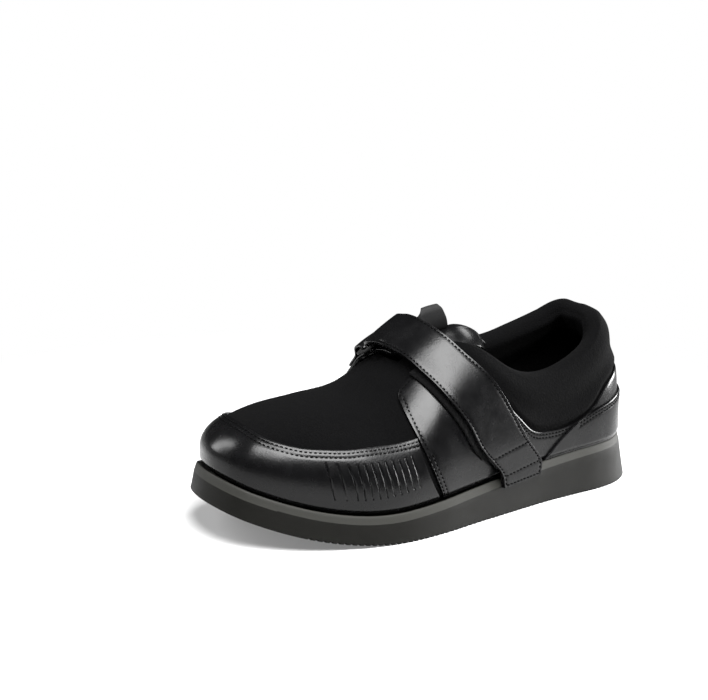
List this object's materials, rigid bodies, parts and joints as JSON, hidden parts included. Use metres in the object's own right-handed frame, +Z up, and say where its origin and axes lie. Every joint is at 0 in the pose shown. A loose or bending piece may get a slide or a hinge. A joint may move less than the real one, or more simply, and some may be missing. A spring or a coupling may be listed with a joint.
{
  "type": "bunion shoe",
  "caption": "Wide left shoe with a soft upper over the bunion, leather toe guard and quarters, padded collar, hook-and-loop strap through a ring, and a ribbed and studded rubber outsole",
  "frame": {"origin": "on the floor, under the middle of the shoe's box", "axes": "+Z up, toe towards -Y, heel towards +Y, outer (lateral) side towards +X"},
  "size_m": [0.1157, 0.29, 0.1118],
  "materials": {
    "outsole": "matt black rubber",
    "insole": "black lining fabric",
    "upper": "black padded knit",
    "tongue": "black smooth leather",
    "toe_guard": "black semi-gloss leather",
    "quarter_lateral": "black semi-gloss leather",
    "quarter_medial": "black semi-gloss leather",
    "counter": "black semi-gloss leather",
    "loop_pad": "black loop pile",
    "strap": "black semi-gloss leather",
    "ring": "black nylon",
    "ring_anchor": "black semi-gloss leather",
    "tongue_tab": "black semi-gloss leather"
  },
  "bodies": {
    "root": {"outsole": "outsole", "insole": "insole", "upper": "upper", "tongue": "tongue", "toe_guard": "toe_guard", "quarter_lateral": "quarter_lateral", "quarter_medial": "quarter_medial", "counter": "counter", "loop_pad": "loop_pad", "strap": "strap", "ring": "ring", "ring_anchor": "ring_anchor", "tongue_tab": "tongue_tab"}
  },
  "joints": []
}
